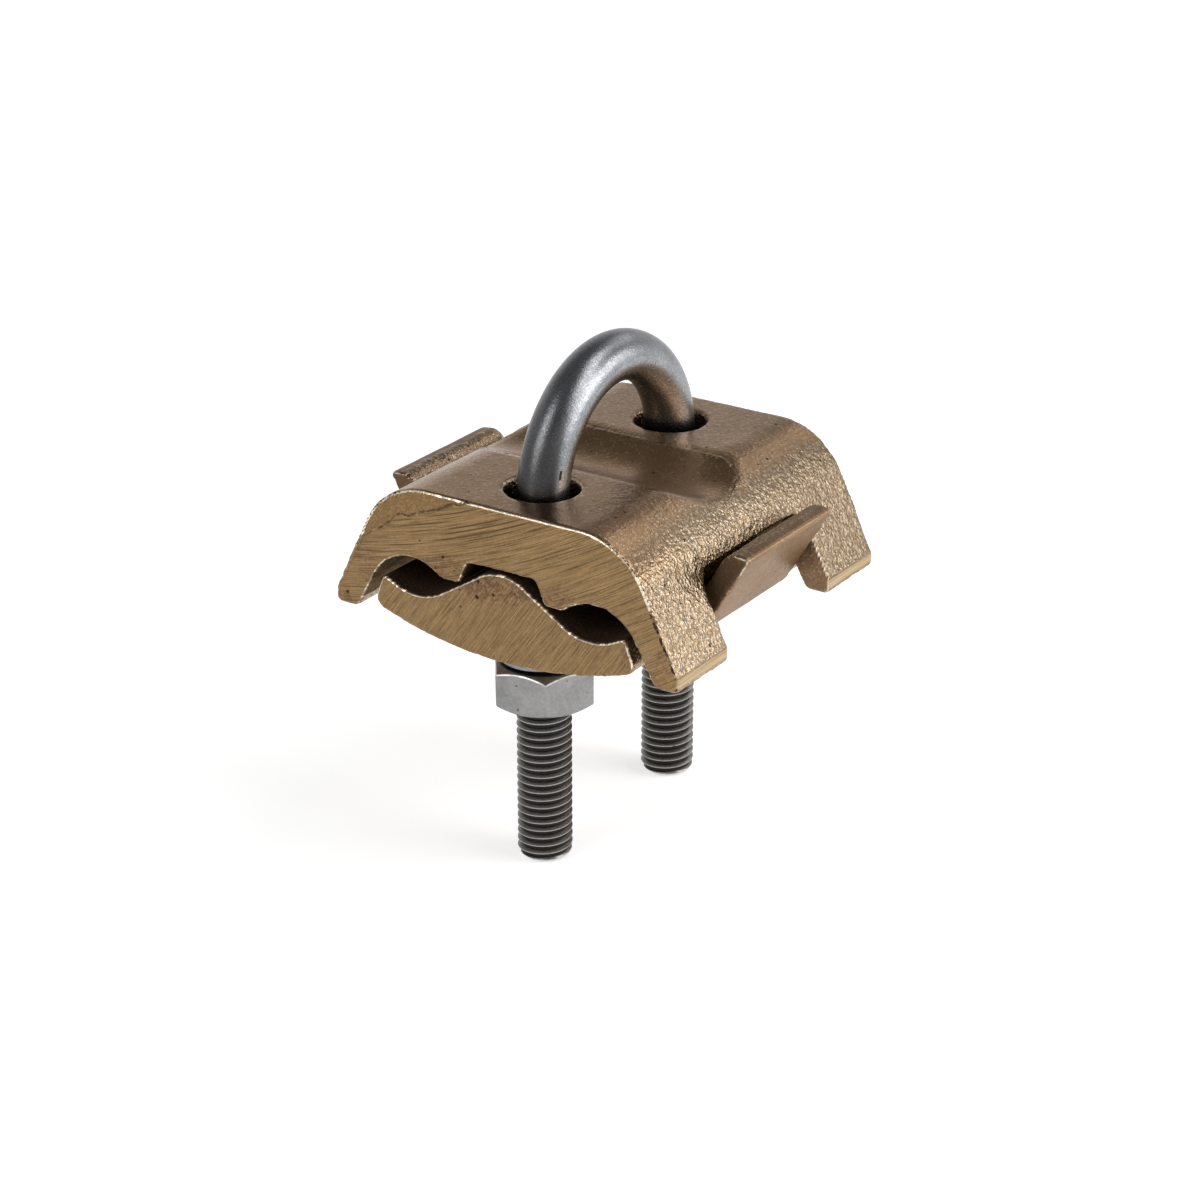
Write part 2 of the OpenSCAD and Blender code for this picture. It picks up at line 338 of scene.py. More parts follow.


# "finish" holds sand, ground, nearness to an edge and painted shade
# "marks" holds low spots, bright edges (wear with a painted highlight), the unground strip and foot facets
# "rims" holds the distances from the right edge of the front face and from the edge of the strip
def makeBronze(name, slope, bend, gouges, pits):
    s = bronze
    material, tree, shader, where = startMaterial(name)
    sand, ground, near, inside = readPaint(tree, "finish")
    bare, wornEdgeHighlight, strip, facet = readPaint(tree, "marks")
    edgeShadowGap, stripGap, _, _ = readPaint(tree, "rims")
    x, y, z = splitAxes(tree, where)
    front = below(tree, y, 0.0)
    grain = placeGroup(tree, sandGrain, where)
    lines = placeGroup(tree, linishLines, where, Slope=slope, Bend=bend)
    holes = placeGroup(tree, pores, where, Spacing=s["poreSpacing"], Share=s["poreShare"])["Mask"]
    patches = placeGroup(tree, clouds, where, Size=s["patch"])["Mask"]
    mottle = placeGroup(tree, clouds, where, Size=s["mottle"])["Mask"]
    fleck, tone = grain["Fleck"], lines["Tone"]

    # deep curved scores that run along the belt lines
    score = times(tree, lines["Score"], 0.7)
    for start, stop, level, width in gouges:
        off = calc(tree, "ABSOLUTE", minus(tree, lines["Across"], level * mm))
        run = times(tree, spread(tree, x, start * mm, (start + s["scoreIn"]) * mm),
                    spread(tree, x, (stop - s["scoreOut"]) * mm, stop * mm, 1.0, 0.0))
        cut = times(tree, fadeOut(tree, off, width * mm), times(tree, run, front))
        score = calc(tree, "MAXIMUM", score, cut)

    # painted shadows: dark ragged lines along the right edge of the front face and under the strip
    def darkLine(distance, width, depth):
        off = calc(tree, "ABSOLUTE", minus(tree, distance, 0.5))
        return times(tree, fadeOut(tree, off, width / rimSpan), below(tree, y, depth * mm))

    ragged = calc(tree, "ADD", mottle, 0.35)
    paintedEdgeShadow = times(tree, darkLine(edgeShadowGap, 0.7, -32.8), spread(tree, z, -12 * mm, -3 * mm, 1.0, 0.2))
    paintedEdgeShadow = spread(tree, times(tree, paintedEdgeShadow, ragged), 0.45, 0.8)
    paintedShadeMask = times(tree, darkLine(stripGap, 0.36, -32.3), below(tree, x, -5 * mm))
    paintedShadeMask = times(tree, spread(tree, times(tree, paintedShadeMask, ragged), 0.3, 0.9), 0.7)

    # single blow holes in the front face
    flat = addNode(tree, "ShaderNodeCombineXYZ")
    tree.links.new(x, flat.inputs[0])
    tree.links.new(z, flat.inputs[2])
    for px, pz, size in pits:
        gap = addNode(tree, "ShaderNodeVectorMath", operation="DISTANCE")
        tree.links.new(flat.outputs[0], gap.inputs[0])
        gap.inputs[1].default_value = (px * mm, 0, pz * mm)
        blow = times(tree, spread(tree, gap.outputs["Value"], size * 0.6 * mm, size * mm, 1.0, 0.0), front)
        holes = calc(tree, "MAXIMUM", holes, times(tree, blow, s["blowDark"]))

    # colour: cast skin, ground faces, low spots, worn edges with a painted highlight, painted shade, then pores and
    # painted shadow lines
    skin = mixColour(tree, blend(tree, patches, 0.5, mottle, 0.4), s["skin"], s["skinDark"])
    skin = mixColour(tree, times(tree, spread(tree, fleck, 0.7, 1.0), 0.6), skin, s["skinFleck"])
    raw = mixColour(tree, fleck, s["sandLow"], s["sandHigh"])
    rawStrip = mixColour(tree, fleck, s["stripDark"], s["strip"])
    cast = mixColour(tree, strip, mixColour(tree, sand, skin, raw), rawStrip)
    belt = times(tree, blend(tree, tone, 0.8, fleck, 0.25), scaled(tree, patches, -0.3, 1.0))
    cut = mixColour(tree, belt, s["groundDark"], s["ground"])
    cut = mixColour(tree, times(tree, facet, scaled(tree, tone, 0.6, 0.4)), cut, s["facet"])
    cut = mixColour(tree, times(tree, score, 0.85), cut, s["score"])
    body = mixColour(tree, ground, cast, cut)
    brushed = scaled(tree, minus(tree, mottle, tone), 0.9, 1.0)
    bareMask = spread(tree, times(tree, bare, brushed), 0.1, 0.9)
    body = mixColour(tree, bareMask, body, mixColour(tree, fleck, s["bareDark"], s["bare"]))
    # worn edges, whitened further into a painted highlight
    edge = times(tree, spread(tree, near, 0.5, 0.9), wornEdgeHighlight)
    wearAndPaintedLight = spread(tree, times(tree, edge, scaled(tree, mottle, 0.5, 0.85)), 0.25, 0.7)
    body = mixColour(tree, wearAndPaintedLight, body, s["edge"])
    # painted shade
    body = mixColour(tree, times(tree, inside, 0.9), body, s["inside"])
    unground = minus(tree, 1.0, times(tree, ground, minus(tree, 1.0, bareMask)))
    spots = calc(tree, "MULTIPLY", holes, scaled(tree, unground, 0.9, 0.1), clamp=True)
    dark = calc(tree, "MAXIMUM", calc(tree, "MAXIMUM", paintedEdgeShadow, paintedShadeMask), spots)
    body = mixColour(tree, dark, body, s["darkPoreAndShadow"])
    tree.links.new(body, shader.inputs["Base Color"])
    # painted shade also dulls reflections at grazing angles
    tree.links.new(mixColour(tree, inside, (1, 1, 1), s["grazing"]), shader.inputs["Specular Tint"])

    rough = mixValue(tree, sand, scaled(tree, patches, 0.08, s["castRough"]), s["sandRough"])
    rough = mixValue(tree, ground, rough, scaled(tree, tone, 0.08, s["groundRough"]))
    rough = mixValue(tree, wearAndPaintedLight, rough, s["wornRough"])
    rough = mixValue(tree, inside, rough, s["insideRough"])
    tree.links.new(rough, shader.inputs["Roughness"])

    sandy = times(tree, grain["Height"], scaled(tree, sand, 1.35, 0.2))
    height = times(tree, sandy, scaled(tree, ground, -0.96, 1.0))
    scored = blend(tree, lines["Height"], 0.3, score, -0.5)
    height = calc(tree, "ADD", height, times(tree, scored, ground))
    addBump(tree, shader, minus(tree, height, times(tree, dark, 0.6)), s["bump"])
    return material


steel = {
    "bar": (0.35, 0.357, 0.376), "barDark": (0.185, 0.19, 0.202), "footPaintedShade": (0.05, 0.048, 0.047),
    "root": (0.033, 0.030, 0.027), "flank": (0.24, 0.232, 0.22), "crest": (0.36, 0.352, 0.34),
    "barRough": 0.25, "rootRough": 0.5, "bump": 0.055,
    "patch": 0.006, "speck": 0.0004, "dentSpacing": 0.0035, "dentShare": 0.12,
    # x and z of the middle of the scratch, half its width and half its height
    "scratch": (4.23, 6.2, 0.09, 0.8),
}


# "finish" holds thread root, thread crest, thread and the painted shade at the foot of the bow
def makeSteel(name):
    s = steel
    material, tree, shader, where = startMaterial(name)
    root, crest, thread, footPaintedShade = readPaint(tree, "finish")
    x, y, z = splitAxes(tree, where)
    patches = placeGroup(tree, clouds, where, Size=s["patch"])["Mask"]
    specks = placeGroup(tree, clouds, where, Size=s["speck"])["Mask"]
    dents = placeGroup(tree, pores, where, Spacing=s["dentSpacing"], Share=s["dentShare"])["Mask"]
    bar = mixColour(tree, blend(tree, patches, 0.3, specks, 0.7), s["bar"], s["barDark"])
    # painted shade at the foot of the bow
    bar = mixColour(tree, footPaintedShade, bar, s["footPaintedShade"])
    body = mixColour(tree, thread, bar, s["flank"])
    body = mixColour(tree, root, body, s["root"])
    body = mixColour(tree, times(tree, crest, 0.8), body, s["crest"])
    body = mixColour(tree, times(tree, dents, 0.7), body, s["root"])

    # one dark scratch on the front leg just over its hole
    def within(value, middle, reach):
        made = calc(tree, "COMPARE", value, middle * mm)
        made.node.inputs[2].default_value = reach * mm
        return made

    across, up, halfWide, halfTall = s["scratch"]
    scratch = times(tree, within(x, across, halfWide), within(z, up, halfTall))
    scratch = times(tree, scratch, below(tree, y, -uBolt["pitch"] / 2 * mm))
    body = mixColour(tree, scratch, body, s["root"])
    tree.links.new(body, shader.inputs["Base Color"])
    rough = mixValue(tree, root, scaled(tree, specks, 0.08, s["barRough"]), s["rootRough"])
    tree.links.new(rough, shader.inputs["Roughness"])
    height = blend(tree, noiseAt(tree, where, 0.28, 2.0, 0.6), 0.7, noiseAt(tree, where, 1.4, 2.0, 0.5), 0.6)
    addBump(tree, shader, minus(tree, height, dents), s["bump"])
    return material


zinc = {
    # the rim colour is a painted highlight
    "nut": (0.32, 0.317, 0.314), "nutDull": (0.225, 0.223, 0.222), "rim": (0.9, 0.9, 0.91), "pit": (0.06, 0.06, 0.062),
    "washer": (0.30, 0.31, 0.33), "washerDull": (0.22, 0.23, 0.25),
    "rough": 0.30, "bump": 0.015, "patch": 0.003, "speck": 0.0005, "pitSpacing": 0.0018, "pitShare": 0.2,
    # painted shade: the left side is duller, fading out between these two
    "leftShadeFrom": -6, "leftShadeTo": 2,
}


# painted highlight: a bright rim where the upper chamfer of a nut meets its flats
def nutRimHighlight(tree, nut, x, y, z):
    y = minus(tree, calc(tree, "ABSOLUTE", y), uBolt["pitch"] / 2 * mm)
    radius = calc(tree, "SQRT", calc(tree, "ADD", times(tree, x, x), times(tree, y, y)))
    beyond = minus(tree, radius, nut["flats"] / 2 * nut["face"] * mm)
    chamfer = minus(tree, nut["height"] / 2 * mm, times(tree, beyond, math.tan(math.radians(nut["slope"]))))
    gap = minus(tree, chamfer, minus(tree, z, (nut["top"] - nut["height"] / 2) * mm))
    facing = splitAxes(tree, addNode(tree, "ShaderNodeNewGeometry").outputs["Normal"])
    upright = spread(tree, calc(tree, "ABSOLUTE", facing[2]), 0.55, 0.8, 1.0, 0.0)
    return times(tree, spread(tree, gap, 0.12 * mm, 0.32 * mm, 1.0, 0.0), upright)


def makeZinc(name, plate, dull, nut=None):
    s = zinc
    material, tree, shader, where = startMaterial(name)
    x, y, z = splitAxes(tree, where)
    patches = placeGroup(tree, clouds, where, Size=s["patch"])["Mask"]
    specks = placeGroup(tree, clouds, where, Size=s["speck"])["Mask"]
    pits = placeGroup(tree, pores, where, Spacing=s["pitSpacing"], Share=s["pitShare"])["Mask"]
    # painted shade on the left side, added to the dull patches
    paintedLeftShade = spread(tree, x, s["leftShadeFrom"] * mm, s["leftShadeTo"] * mm, 0.5, 0.0)
    wearAndPaintedLight = calc(tree, "ADD", blend(tree, patches, 0.5, specks, 0.5), paintedLeftShade, clamp=True)
    body = mixColour(tree, wearAndPaintedLight, plate, dull)
    if nut:
        # painted highlight along the upper rim
        rim = times(tree, nutRimHighlight(tree, nut, x, y, z), spread(tree, patches, 0.2, 0.6, 0.4, 0.9))
        body = mixColour(tree, rim, body, s["rim"])
    body = mixColour(tree, times(tree, pits, 0.75), body, s["pit"])
    tree.links.new(body, shader.inputs["Base Color"])
    tree.links.new(scaled(tree, specks, 0.12, s["rough"]), shader.inputs["Roughness"])
    addBump(tree, shader, minus(tree, noiseAt(tree, where, 0.3, 3.0, 0.6), pits), s["bump"])
    return material


# castings: the solid's skin laid out again in small even faces, edges eased, then roughened

# angle of a sharp line, spacing of the points along it, and how near, in voxels, a point is drawn onto it
castSkin = {"sharp": 24, "spacing": 0.2, "draw": 0.55}


def castBlank(name, node, voxel):
    s = castSkin
    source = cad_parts[node].data.copy()
    cleanUp(source, 2e-6)
    blank = addPiece(name, source)
    skin = blank.modifiers.new("skin", "REMESH")
    skin.mode = "VOXEL"
    skin.voxel_size = voxel * mm
    skin.adaptivity = 0
    mesh = bpy.data.meshes.new_from_object(blank.evaluated_get(bpy.context.evaluated_depsgraph_get()))
    mesh.name = name
    bpy.data.objects.remove(blank)

    # sharp lines of the solid, as points
    bm = bmesh.new()
    bm.from_mesh(source)
    marks = []
    for e in bm.edges:
        if len(e.link_faces) == 2 and e.calc_face_angle() > math.radians(s["sharp"]):
            a, b = (v.co for v in e.verts)
            n = max(1, math.ceil((b - a).length / (s["spacing"] * mm)))
            marks += [a.lerp(b, i / n) for i in range(n + 1)]
    tree = BVHTree.FromBMesh(bm)
    bm.free()
    lines = KDTree(len(marks))
    for i, p in enumerate(marks):
        lines.insert(p, i)
    lines.balance()

    # even skin back onto the solid, with the distance of each point from a sharp line
    count = len(mesh.vertices)
    onLine = np.zeros(count, dtype=bool)
    place = np.empty((count, 3))
    facing = np.empty((count, 3))
    edgeGap = np.empty(count)
    for i, v in enumerate(mesh.vertices):
        at, normal, _, _ = tree.find_nearest(v.co)
        nearest, _, gap = lines.find(at)
        if gap < s["draw"] * voxel * mm:
            at, gap, onLine[i] = nearest, 0, True
        place[i], facing[i] = at, normal
        edgeGap[i] = gap / mm

    # faces crossed by a sharp line are split along it
    bm = bmesh.new()
    bm.from_mesh(mesh)
    for f in list(bm.faces):
        v = f.verts
        if len(v) == 4:
            on = [onLine[q.index] for q in v]
            if on[0] and on[2] and not (on[1] or on[3]):
                bmesh.utils.face_split(f, v[0], v[2])
            elif on[1] and on[3] and not (on[0] or on[2]):
                bmesh.utils.face_split(f, v[1], v[3])
    bm.to_mesh(mesh)
    bm.free()
    return mesh, place / mm, facing, edgeGap


def neighbourMean(mesh, values):
    ends = np.empty(len(mesh.edges) * 2, dtype=np.int64)
    mesh.edges.foreach_get("vertices", ends)
    a, b = ends[0::2], ends[1::2]
    count = np.bincount(a, minlength=len(values)) + np.bincount(b, minlength=len(values))
    total = np.zeros_like(values)
    for k in range(values.shape[1]):
        total[:, k] = np.bincount(a, values[b, k], len(values)) + np.bincount(b, values[a, k], len(values))
    return total / np.maximum(count, 1)[:, None]


# points within reach of a line drawn towards their neighbours, less towards the end of the reach
def soften(mesh, place, facing, gap, inner, reach, rounds):
    weight = 0.6 * (1 - ramp(gap, reach * inner, reach))[:, None]
    for _ in range(rounds):
        place = place + (neighbourMean(mesh, place) - place) * weight
        facing = facing + (neighbourMean(mesh, facing) - facing) * weight
    return place, facing / np.maximum(np.linalg.norm(facing, axis=1), 1e-9)[:, None]


def lumps(place, size, seed):
    shift = Vector((seed * 3.1, seed * 1.7, seed * 5.3))
    return np.array([noise.noise(Vector(p) / size + shift) for p in place])


# ragged chips: large lumps broken up by small ones
def chips(place, size, seed):
    return ramp(lumps(place, size, seed) + 0.5 * lumps(place, 0.7, seed + 1), 0.1, 0.7)


def castLumps(place, seed):
    return lumps(place, 0.95, seed) + 0.6 * lumps(place, 1.9, seed + 1)


def squareTo(n):
    return ramp(np.abs(n), 0.8, 0.97)


# flat ends of a casting, which the belt has ground
def endFaces(y, ny):
    return squareTo(ny) * (np.abs(y) > 32.6)


def holeWalls(x, y, nz, radius):
    return (np.hypot(x, np.abs(y) - uBolt["pitch"] / 2) < radius) & (np.abs(nz) < 0.6)


# low spots on the end faces that the belt only brushed: x, z, half width, half height and strength of each
def lowSpots(x, z, spots, soft):
    return np.maximum.reduce([strength * (1 - ramp(np.hypot((x - cx) / rx, (z - cz) / rz), 1 - soft, 1 + soft))
                              for cx, cz, rx, rz, strength in spots])


def settle(mesh, place):
    mesh.vertices.foreach_set("co", (place * mm).ravel())
    mesh.update()
    shadeSmooth(mesh)


upperSaddle = {
    "voxel": 0.43, "sandDepth": 0.11, "waveDepth": 0.14, "chipDepth": 0.35, "rawStep": 0.4, "ease": 0.8,
    "flatEnd": 15.7, "shoulder": 14.3, "top": 2.9, "seat": 17.5, "seatHalf": 13.5, "lowest": -9,
    "holeZone": 7.2, "soleZ": -20.5, "toeX": 35, "legX": 25.8, "gapX": 24, "gapY": 20,
    # how far the seat's rim is eased behind and in front, and how often
    "rimBack": 1.9, "rimFront": 0.9, "rimRounds": 40,
    # edge of the strip along the left shoulder that the belt never reached
    "stripX": [-36, -33.5, -31.7, -30.7, -28.6, -26.6, -25.3, -23.4, -21.8, -19.5, -17.3, -14.5, -12.0, -7.7, -5.0],
    "stripZ": [-21, -16.4, -13.2, -11.1, -8.1, -6.7, -5.9, -4.5, -2.7, -2.2, -1.6, -0.5, 0.8, 2.4, 3.4],
    # right edge of the front face
    "outerX": [35.5, 35.5, 29.2, 27.0, 24.3, 17.0], "outerZ": [-22, -19.4, -6.5, -3, 0, 2.9],
    "lowSpots": [(-11.0, -11.0, 5.6, 3.6, 0.55), (11.6, -10.6, 3.4, 3.0, 0.6), (32.0, -19.0, 2.6, 5.0, 0.55),
                 (-28.5, -13.5, 2.4, 4.6, 0.4), (-34.0, -20.5, 2.4, 2.2, 0.5)],
    # scores on the front face: start x, end x, level across the belt lines, width
    "gouges": [(-17, -2, 4.0, 0.2), (-13, 3, 1.3, 0.27), (-14, 6, 0.45, 0.26), (-15, 9, -0.55, 0.26),
               (-25, -15, 3.8, 0.19), (-21, -11, 1.5, 0.16), (3, 12, -2.15, 0.18), (-24, -9, 2.7, 0.14),
               (-9, 6, -1.4, 0.15)],
    # blow holes in the front face: x, z, radius
    "pits": [(-11.9, -8.2, 0.32), (-13.6, -10.6, 0.2), (-16.8, -6.3, 0.22), (-9.6, -10.2, 0.16), (-32.9, -19.6, 0.35)],
    "beltSlope": 0.42, "beltBend": 3.6,
}
upperBronze = makeBronze("upperBronze", upperSaddle["beltSlope"], upperSaddle["beltBend"], upperSaddle["gouges"],
                         upperSaddle["pits"])


def makeUpperSaddle():
    s = upperSaddle
    mesh, place, facing, edgeGap = castBlank("upperSaddle", "upper_saddle", s["voxel"])
    x, y, z = place.T
    nx, ny, nz = facing.T
    wide = np.abs(x)
    front = y < 0
    endFace = endFaces(y, ny)
    sole = ramp(-nz, 0.75, 0.95) * (z < s["soleZ"])
    toe = ramp(np.abs(nx), 0.93, 0.985) * (wide > s["toeX"]) * (1 - endFace)
    feet = np.maximum(sole, toe)
    flatTop = ramp(nz, 0.72, 0.96) * (z > -4)

    # painted shade: undersides, hole walls, walls of the gaps for the ears and the rear of the right shoulder
    leg = (wide > s["legX"]) & (nz < 0)
    paintedShadeMask = (1 - ramp(nz, -0.1, 0.4)) * (z > -20) * (1 - endFace) * np.where(leg, 0.8, 1.0)
    paintedShadeMask = paintedShadeMask * (np.abs(nx) < 0.995) * (1 - feet)
    paintedShadeMask = np.where((nz < -0.05) | (wide < 25.2), paintedShadeMask, 0)
    holeWall = holeWalls(x, y, nz, s["holeZone"])
    paintedShadeMask = np.where(holeWall, paintedShadeMask * (1 - 0.65 * ramp(z, -4, 1.5)), paintedShadeMask)
    gapWall = ramp(np.abs(ny), 0.6, 0.9) * (np.abs(y) < s["gapY"]) * (wide > s["gapX"])
    paintedShadeMask = np.maximum(paintedShadeMask, 0.5 * gapWall)

    # ground faces, the unground strip and the sand cast faces
    wander = lumps(place, 2.2, 4) * 0.4 + lumps(place, 0.8, 7) * 0.3
    stripGap = z + wander - np.interp(x, s["stripX"], s["stripZ"])
    strip = endFace * front * (x < 0) * ramp(stripGap, -0.2, 0.2)
    low = lowSpots(x, z, s["lowSpots"], 0.6) * endFace
    ground = np.maximum(endFace * (1 - strip), feet)
    sand = (1 - 0.86 * flatTop) * (1 - 0.6 * ramp(-y, 14, 31) * ramp(nz, 0.42, 0.62))
    sand = np.where(endFace > 0.5, 0.5 * strip, sand) * (1 - ground) * (1 - 0.7 * gapWall)
    # painted shade on the rear of the right shoulder and leg
    paintedShadeMask = np.maximum(paintedShadeMask, 0.24 * ramp(y, -4, 20) * ramp(x, 17, 24) * (1 - ground))

    # height of the top without the seat, and distance from the seat's rim
    crown = np.sqrt(np.maximum(s["shoulder"] ** 2 - np.maximum(wide - s["flatEnd"], 0) ** 2, 0))
    crown = s["top"] - s["shoulder"] + crown
    rim = np.abs(s["seat"] - np.sqrt(np.maximum(s["seat"] ** 2 - y ** 2, 0)) - crown)
    onRim = (nz > 0.45) & (np.abs(y) < s["seatHalf"]) & (z > s["lowest"])
    # the seat is smoother than the shoulders and carries painted shade to the right of its middle
    inSeat = ramp(crown - z, 0.1, 0.7) * onRim
    sand = sand * (1 - 0.75 * inSeat * (1 - ramp(wide, 20, 24)))
    along = x + 0.6 * (y - 4)
    paintedShadeMask = np.maximum(paintedShadeMask, 0.5 * inSeat * ramp(along, 1, 8) * (1 - ramp(along, 11, 20)))

    # edges eased, the seat's rim most of all
    place, facing = soften(mesh, place, facing, edgeGap, 0.6, s["ease"], 3)
    rimReach = np.where(y > 0, s["rimBack"], s["rimFront"])
    place, facing = soften(mesh, place, facing, np.where(onRim, rim, rimReach), 0.4, rimReach, s["rimRounds"])

    # geometry of the roughness: small lumps on sand cast faces, long waves, the step to the strip and chips
    rough = castLumps(place, 1)
    wave = lumps(place, 7.0, 3)
    free = (1 - np.maximum(endFace, feet)) * np.where(holeWall, 0.2, 1)
    shift = free * (rough * s["sandDepth"] * sand + wave * s["waveDepth"] * (0.35 + 0.65 * sand))
    shift -= strip * (s["rawStep"] * (0.75 + 0.25 * wave) - 0.09 * rough)
    chip = chips(place, 1.5, 5)
    topEdge = front & (z > s["lowest"]) & (wide < 30)
    chipZone = np.where(topEdge, 0.15 + 0.85 * ramp(-x, 4, 12), 0.3)
    shift -= s["chipDepth"] * (1 - ramp(edgeGap, 0.2, 0.9)) * chip * chipZone

    # how bright the worn edges are, by place: wear with a painted highlight
    wornEdgeHighlight = np.where(topEdge & (z > crown - 2.2), np.where(x > -9, 0.8, 0.55 + 0.6 * chip), 0.22)
    wornEdgeHighlight = np.where((y < -30) & (z < crown - 2.5) & (wide < 31), 0.5, wornEdgeHighlight)
    wornEdgeHighlight = np.where((np.abs(y) < s["gapY"] - 1) & (wide > s["gapX"]), 0.5, wornEdgeHighlight)
    wornEdgeHighlight = np.where((rim < 2.5) & onRim, 0.0, wornEdgeHighlight)
    facet = feet * ramp(np.abs(nx), 0.5, 0.9)
    outer = x - np.interp(z, s["outerZ"], s["outerX"])
    edgeShadowGap, ledgeGap = (np.clip(0.5 + gap / rimSpan, 0, 1) for gap in (outer + 0.2, stripGap - 0.1))
    settle(mesh, place + facing * shift[:, None])
    paint(mesh, "finish", sand, ground, np.clip(1 - edgeGap, 0, 1), paintedShadeMask)
    paint(mesh, "marks", low, wornEdgeHighlight, strip, facet)
    paint(mesh, "rims", edgeShadowGap, ledgeGap, 0 * x, 0 * x + 1)
    piece = addPiece("upperSaddle", mesh)
    finishPiece(piece, "upper_saddle", "upper_saddle", upperBronze)
    print("upper saddle", len(mesh.polygons), "faces")


lowerSaddle = {
    "voxel": 0.42, "sandDepth": 0.06, "waveDepth": 0.12, "chipDepth": 0.28, "ease": 0.7,
    "holeZone": 6.4, "ridgeX": 35.5,
    "lowSpots": [(-2.0, -10.4, 8.8, 3.8, 1.0), (26, -18, 2.5, 2.0, 0.5)],
    "pits": [(-4.6, -11.1, 0.36), (-4.9, -14.0, 0.42), (-1.5, -12.8, 0.3), (-8.5, -13.5, 0.2), (-8.4, -16.6, 0.2),
             (3.0, -11.6, 0.18)],
    "beltSlope": 1.4,
}
lowerBronze = makeBronze("lowerBronze", lowerSaddle["beltSlope"], 0.0, [], lowerSaddle["pits"])
print("bronze made")


def makeLowerSaddle():
    s = lowerSaddle
    mesh, place, facing, edgeGap = castBlank("lowerSaddle", "lower_saddle", s["voxel"])
    x, y, z = place.T
    nx, ny, nz = facing.T
    wide = np.abs(x)
    outward = nx * np.sign(x)
    endFace = endFaces(y, ny)
    ears = ramp(wide, 27.4, 28.2)
    earEnds = ears * squareTo(ny)
    earFace = ears * ramp(outward, 0.3, 0.6) * (1 - ramp(nz, 0.0, 0.3)) * (1 - earEnds)
    earInner = ears * (1 - ramp(outward, -0.1, 0.25)) * (1 - earEnds)

    # painted shade: the hump and grooves under the upper saddle, and the ears by face
    shade = (1 - ramp(wide, 25, 27)) * ramp(nz, -0.1, 0.3) * (1 - endFace)
    shade += 0.92 * earEnds + 0.36 * earFace + 0.36 * ears * ramp(nz, 0.2, 0.5) * (1 - earInner)
    low = lowSpots(x, z, s["lowSpots"], 0.5) * endFace
    sand = np.where(endFace > 0.5, 0, 0.75 - 0.6 * ears + 0.5 * earInner) * (1 - endFace)

    place, facing = soften(mesh, place, facing, edgeGap, 0.6, s["ease"], 3)
    rough = castLumps(place, 11)
    wave = lumps(place, 6.0, 13)
    free = (1 - endFace) * np.where(holeWalls(x, y, nz, s["holeZone"]), 0.2, 1)
    shift = free * (rough * s["sandDepth"] * (sand + earInner) + wave * s["waveDepth"] * (0.4 + 0.6 * sand))
    chip = chips(place, 1.3, 15)
    shift -= s["chipDepth"] * (1 - ramp(edgeGap, 0.2, 0.8)) * chip * (0.3 + 0.7 * ears)

    # how bright the worn edges are, by place: wear with a painted highlight
    upperEdge = (np.abs(y) > 32) & (nz > -0.2) & (z > -20)
    wornEdgeHighlight = np.where(upperEdge, 0.75, 0.15)
    wornEdgeHighlight = np.where((ears > 0.5) & (wide > s["ridgeX"]), 0.8 + 0.5 * chip, wornEdgeHighlight)
    settle(mesh, place + facing * shift[:, None])
    paint(mesh, "finish", sand, endFace, np.clip(1 - edgeGap, 0, 1), np.clip(shade, 0, 1))
    paint(mesh, "marks", low, wornEdgeHighlight, 0 * x, 0 * x)
    piece = addPiece("lowerSaddle", mesh)
    finishPiece(piece, "lower_saddle", "lower_saddle", lowerBronze)
    print("lower saddle", len(mesh.polygons), "faces")


# U-bolt: one bar bent over a bow, rolled thread on both legs

uBolt = {
    "pitch": 40.7, "bar": 4.55, "crest": 4.95, "root": 4.05, "lead": 1.5, "bowZ": -0.1, "endZ": -67.1,
    "threadTop": -19.1, "fade": 2.2, "chamfer": 1.7, "around": 56, "shankSteps": 12, "bowSteps": 80,
    # outline of one thread, from root over crest to root, and the steps it is laid out in
    "threadU": [0, 0.16, 0.44, 0.56, 0.84, 1], "threadDepth": [0, 0.05, 0.96, 0.96, 0.05, 0],
    "threadSteps": [0, 0.08, 0.16, 0.3, 0.44, 0.56, 0.7, 0.84, 0.92, 1],
    # heights between which painted shade darkens the bar near the upper saddle, and where it fades again on the front
    # and rear legs
    "darkFrom": (-9, -3), "frontLight": (5, 20), "rearLight": (0.5, 6.5),
}
plainSteel = makeSteel("plainSteel")


# u runs over one lead
def threadPoint(u, turn):
    s = uBolt
    depth = np.interp(u, s["threadU"], s["threadDepth"])
    z = s["endZ"] - s["lead"] + (turn + u) * s["lead"]
    fade = 1 - ramp(z, s["threadTop"] - s["fade"], s["threadTop"])
    r = s["bar"] + (s["root"] + (s["crest"] - s["root"]) * depth - s["bar"]) * fade
    zc = min(max(z, s["endZ"]), s["threadTop"])
    up = min(1, (zc - s["endZ"]) / s["chamfer"])
    limit = s["crest"] - s["chamfer"] * (1 - math.sqrt(max(0, up * (2 - up))))
    return min(r, limit), zc, depth * fade, fade


# painted shade: the front leg is dark further up, less so on its right side
def footShade(yc, zc, t):
    s = uBolt
    shade = ramp(zc, *s["darkFrom"]) * (1 - ramp(zc, *s["frontLight" if yc < 0 else "rearLight"]))
    if yc < 0 and zc > 0:
        shade *= 0.9 - 0.75 * ramp(0.83 * math.sin(t) - 0.55 * math.cos(t), 0.3, 0.65)
    return float(shade)


